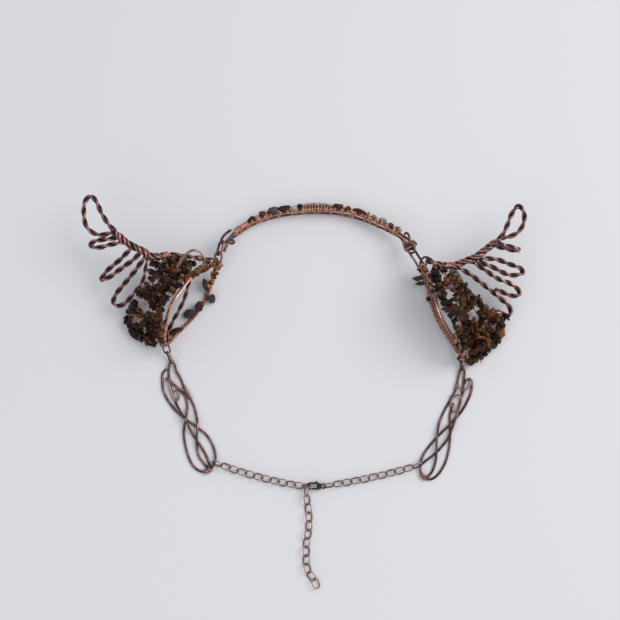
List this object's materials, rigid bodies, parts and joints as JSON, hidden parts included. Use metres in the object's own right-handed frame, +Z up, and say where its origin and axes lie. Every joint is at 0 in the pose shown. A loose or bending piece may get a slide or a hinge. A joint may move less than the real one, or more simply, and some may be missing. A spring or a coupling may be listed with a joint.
{
  "type": "wire-wrapped diadem",
  "caption": "Wire-wrapped copper diadem with a stone-set front band, winged ear pieces, woven wire knots and a back chain with a lobster clasp.",
  "frame": {"origin": "centre of the bounding box, on the surface that the diadem lies on", "axes": "+X to the wearer's left wing as the picture shows it on the right, +Y to the front band, +Z up from the surface"},
  "size_m": [0.2687, 0.2363, 0.039],
  "materials": {
    "antique_copper": "antiqued copper wire, dark in its hollows and rubbed bright on its ridges",
    "bright_copper": "thin copper wire, half polished",
    "chain_copper": "antiqued copper plate, satin",
    "chip_stone": "tumbled and polished, browns, ambers, olives and greys"
  },
  "bodies": {
    "diadem": {"band_upper_wire": "antique_copper", "band_lower_wire": "antique_copper", "band_thread": "bright_copper", "band_chips": "chip_stone", "left_shoulder_links": "antique_copper", "right_shoulder_link": "antique_copper", "left_ear_loop": "bright_copper", "right_ear_loop": "bright_copper", "left_spine": "antique_copper", "right_spine": "antique_copper", "left_feather_2": "antique_copper", "left_feather_3": "antique_copper", "left_feather_4": "antique_copper", "right_feather_2": "antique_copper", "right_feather_3": "antique_copper", "right_feather_4": "antique_copper", "right_feather_5": "antique_copper", "left_strut": "antique_copper", "right_strut": "antique_copper", "left_net_wires": "bright_copper", "right_net_wires": "bright_copper", "left_net_chips": "chip_stone", "right_net_chips": "chip_stone", "left_loop_chips": "chip_stone", "right_loop_chips": "chip_stone", "left_drop_links": "antique_copper", "right_drop_links": "antique_copper", "left_knot_wire": "antique_copper", "left_knot_ring": "antique_copper", "right_knot_wire": "antique_copper", "right_knot_ring": "antique_copper", "left_chain": "chain_copper", "right_chain": "chain_copper", "extension_chain": "chain_copper", "clasp_ring": "chain_copper", "clasp_hook": "chain_copper"},
    "lever": {"clasp_lever": "chain_copper"}
  },
  "joints": [
    {"name": "clasp_lever", "type": "hinge", "parent": "diadem", "child": "lever", "pos_m": [0.0087, -0.0586, 0.00265], "axis": [0, 0, -1], "range_deg": [0, 18], "stiffness_Nm_per_rad": 0.001, "springref_deg": -17.19}
  ]
}
